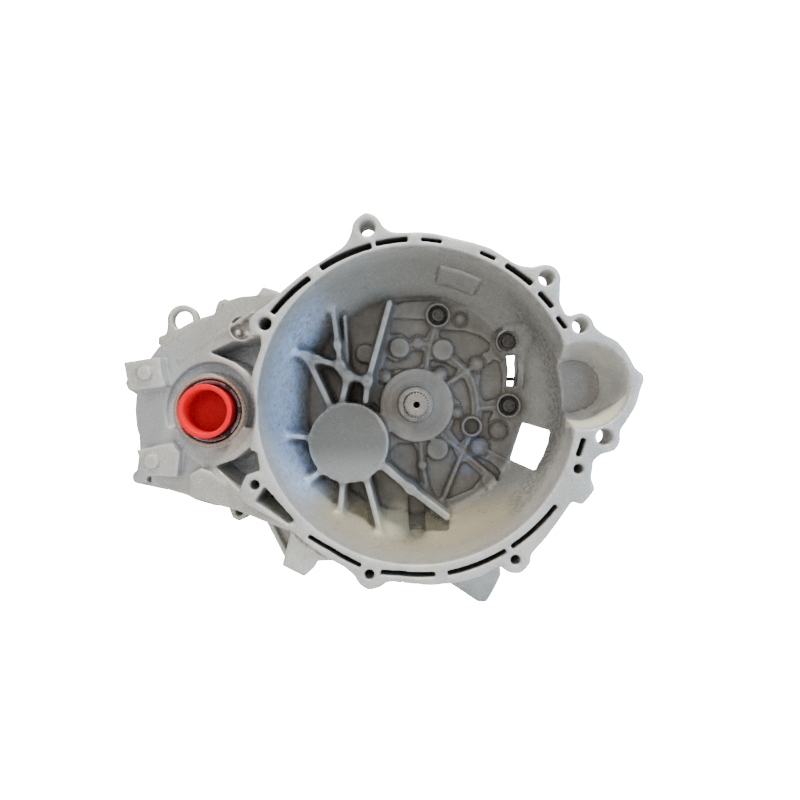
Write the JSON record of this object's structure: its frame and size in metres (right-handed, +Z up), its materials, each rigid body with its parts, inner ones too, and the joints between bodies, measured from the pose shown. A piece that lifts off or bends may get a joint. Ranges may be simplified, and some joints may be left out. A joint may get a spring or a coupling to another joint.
{
  "type": "manual transmission",
  "caption": "Transverse manual transmission with a bell housing, gear train, differential, selector and axle plugs.",
  "frame": {"origin": "under the middle of the whole transmission, at the height of its lowest point", "axes": "+X to the right seen from the engine, along the differential-to-starter width; +Y from the engine face to the rear cover, along the shafts; +Z up"},
  "size_m": [0.5186, 0.332, 0.3654],
  "materials": {
    "cast_aluminium": "as-cast, matt, slightly stained",
    "machined_steel": "machined",
    "gear_steel": "ground",
    "bearing_steel": "ground",
    "bronze": "cast bronze",
    "dark_bolt": "black oxide",
    "zinc_bolt": "zinc plated",
    "seal_rubber": "matt",
    "red_plastic": "moulded, semi-gloss",
    "black_plastic": "matt"
  },
  "bodies": {
    "housing": {"clutch_housing": "cast_aluminium", "transmission_case": "cast_aluminium", "rear_cover": "cast_aluminium", "input_front_bearing": "bearing_steel", "input_rear_bearing": "bearing_steel", "output_front_bearing": "bearing_steel", "output_rear_bearing": "bearing_steel", "differential_front_bearing": "bearing_steel", "differential_rear_bearing": "bearing_steel", "bell_bolt_1": "dark_bolt", "bell_bolt_2": "dark_bolt", "bell_bolt_3": "dark_bolt", "case_bolt_1": "zinc_bolt", "case_bolt_2": "zinc_bolt", "case_bolt_3": "zinc_bolt", "case_bolt_4": "zinc_bolt", "case_bolt_5": "zinc_bolt", "case_bolt_6": "zinc_bolt", "cover_bolt_1": "zinc_bolt", "cover_bolt_2": "zinc_bolt", "cover_bolt_3": "zinc_bolt", "cover_bolt_4": "zinc_bolt", "cover_bolt_5": "zinc_bolt", "guide_sleeve": "machined_steel", "axle_seal_front": "seal_rubber", "axle_seal_rear": "seal_rubber", "drain_plug": "zinc_bolt", "filler_plug": "zinc_bolt", "reverse_light_switch": "black_plastic", "selector_guide": "cast_aluminium", "breather": "black_plastic", "reverse_idler_pin": "machined_steel"},
    "input": {"input_shaft": "machined_steel"},
    "output": {"output_shaft": "machined_steel", "third_driven_gear": "gear_steel", "fourth_driven_gear": "gear_steel"},
    "differential": {"ring_gear": "gear_steel", "differential_carrier": "machined_steel", "spider_shaft": "machined_steel"},
    "third_drive": {"third_drive_gear": "gear_steel"},
    "fourth_drive": {"fourth_drive_gear": "gear_steel"},
    "first_driven": {"first_driven_gear": "gear_steel"},
    "second_driven": {"second_driven_gear": "gear_steel"},
    "fifth_driven": {"fifth_driven_gear": "gear_steel"},
    "reverse_driven": {"reverse_driven_gear": "gear_steel"},
    "reverse_idler": {"reverse_idler_gear": "gear_steel"},
    "front_side_gear": {"side_gear_front": "gear_steel"},
    "rear_side_gear": {"side_gear_rear": "gear_steel"},
    "upper_spider": {"spider_gear_upper": "gear_steel"},
    "lower_spider": {"spider_gear_lower": "gear_steel"},
    "sleeve_12": {"sleeve_1_2": "machined_steel"},
    "sleeve_34": {"sleeve_3_4": "machined_steel"},
    "sleeve_5r": {"sleeve_5_r": "machined_steel"},
    "fork_12": {"shift_fork_1_2": "bronze"},
    "fork_34": {"shift_fork_3_4": "bronze"},
    "fork_5r": {"shift_fork_5_r": "bronze"},
    "selector": {"control_shaft": "machined_steel"},
    "lever": {"shift_lever": "machined_steel"},
    "front_plug": {"axle_plug_front": "red_plastic"},
    "rear_plug": {"axle_plug_rear": "red_plastic"}
  },
  "joints": [
    {"name": "input_spin", "type": "hinge", "parent": "housing", "child": "input", "pos_m": [0.05529, -0.066, 0.1929], "axis": [0, 1, 0], "continuous": true},
    {"name": "output_spin", "type": "hinge", "parent": "housing", "child": "output", "pos_m": [-0.01171, -0.066, 0.1542], "axis": [0, 1, 0], "continuous": true},
    {"name": "differential_spin", "type": "hinge", "parent": "housing", "child": "differential", "pos_m": [-0.1413, -0.04, 0.1869], "axis": [0, 1, 0], "continuous": true},
    {"name": "third_drive_spin", "type": "hinge", "parent": "housing", "child": "third_drive", "pos_m": [0.05529, 0.017, 0.1929], "axis": [0, 1, 0], "continuous": true},
    {"name": "fourth_drive_spin", "type": "hinge", "parent": "housing", "child": "fourth_drive", "pos_m": [0.05529, 0.049, 0.1929], "axis": [0, 1, 0], "continuous": true},
    {"name": "first_driven_spin", "type": "hinge", "parent": "housing", "child": "first_driven", "pos_m": [-0.01171, -0.035, 0.1542], "axis": [0, 1, 0], "continuous": true},
    {"name": "second_driven_spin", "type": "hinge", "parent": "housing", "child": "second_driven", "pos_m": [-0.01171, -0.001, 0.1542], "axis": [0, 1, 0], "continuous": true},
    {"name": "fifth_driven_spin", "type": "hinge", "parent": "housing", "child": "fifth_driven", "pos_m": [-0.01171, 0.066, 0.1542], "axis": [0, 1, 0], "continuous": true},
    {"name": "reverse_driven_spin", "type": "hinge", "parent": "housing", "child": "reverse_driven", "pos_m": [-0.01171, 0.097, 0.1542], "axis": [0, 1, 0], "continuous": true},
    {"name": "reverse_idler_spin", "type": "hinge", "parent": "housing", "child": "reverse_idler", "pos_m": [0.0653, 0.097, 0.14669], "axis": [0, 1, 0], "continuous": true},
    {"name": "front_side_gear_spin", "type": "hinge", "parent": "differential", "child": "front_side_gear", "pos_m": [-0.1413, -0.04, 0.1869], "axis": [0, 1, 0], "continuous": true},
    {"name": "rear_side_gear_spin", "type": "hinge", "parent": "differential", "child": "rear_side_gear", "pos_m": [-0.1413, -0.04, 0.1869], "axis": [0, 1, 0], "continuous": true},
    {"name": "upper_spider_spin", "type": "hinge", "parent": "differential", "child": "upper_spider", "pos_m": [-0.1413, -0.04, 0.1869], "axis": [0, 0, 1], "continuous": true},
    {"name": "lower_spider_spin", "type": "hinge", "parent": "differential", "child": "lower_spider", "pos_m": [-0.1413, -0.04, 0.1869], "axis": [0, 0, 1], "continuous": true},
    {"name": "fork_12_slide", "type": "slide", "parent": "housing", "child": "fork_12", "axis": [0, 1, 0], "range_m": [-0.0042, 0.0042]},
    {"name": "fork_34_slide", "type": "slide", "parent": "housing", "child": "fork_34", "axis": [0, 1, 0], "range_m": [-0.0042, 0.0042]},
    {"name": "fork_5r_slide", "type": "slide", "parent": "housing", "child": "fork_5r", "axis": [0, 1, 0], "range_m": [-0.0042, 0.0042]},
    {"name": "sleeve_12_slide", "type": "slide", "parent": "output", "child": "sleeve_12", "axis": [0, 1, 0], "range_m": [-0.0042, 0.0042]},
    {"name": "sleeve_34_slide", "type": "slide", "parent": "input", "child": "sleeve_34", "axis": [0, 1, 0], "range_m": [-0.0042, 0.0042]},
    {"name": "sleeve_5r_slide", "type": "slide", "parent": "output", "child": "sleeve_5r", "axis": [0, 1, 0], "range_m": [-0.0042, 0.0042]},
    {"name": "selector_slide", "type": "slide", "parent": "housing", "child": "selector", "axis": [0, 0, 1], "range_m": [-0.005, 0.005]},
    {"name": "lever_turn", "type": "hinge", "parent": "selector", "child": "lever", "pos_m": [-0.0027, 0.03, 0.3389], "axis": [0, 0, 1], "range_deg": [-12, 12]},
    {"name": "front_plug_pull", "type": "slide", "parent": "housing", "child": "front_plug", "axis": [0, -1, 0], "range_m": [0, 0.05]},
    {"name": "rear_plug_pull", "type": "slide", "parent": "housing", "child": "rear_plug", "axis": [0, 1, 0], "range_m": [0, 0.05]}
  ],
  "couplings": [
    {"joint": "differential_spin", "follows": "output_spin", "ratio": -0.44444},
    {"joint": "third_drive_spin", "follows": "output_spin", "ratio": -1.25},
    {"joint": "fourth_drive_spin", "follows": "output_spin", "ratio": -0.89474},
    {"joint": "first_driven_spin", "follows": "input_spin", "ratio": -0.33333},
    {"joint": "second_driven_spin", "follows": "input_spin", "ratio": -0.56522},
    {"joint": "fifth_driven_spin", "follows": "input_spin", "ratio": -1.4},
    {"joint": "reverse_idler_spin", "follows": "input_spin", "ratio": -0.69231},
    {"joint": "reverse_driven_spin", "follows": "input_spin", "ratio": 0.3913},
    {"joint": "rear_side_gear_spin", "follows": "front_side_gear_spin", "ratio": -1},
    {"joint": "upper_spider_spin", "follows": "front_side_gear_spin", "ratio": 1.6},
    {"joint": "lower_spider_spin", "follows": "front_side_gear_spin", "ratio": -1.6},
    {"joint": "sleeve_12_slide", "follows": "fork_12_slide", "ratio": 1},
    {"joint": "sleeve_34_slide", "follows": "fork_34_slide", "ratio": 1},
    {"joint": "sleeve_5r_slide", "follows": "fork_5r_slide", "ratio": 1}
  ]
}
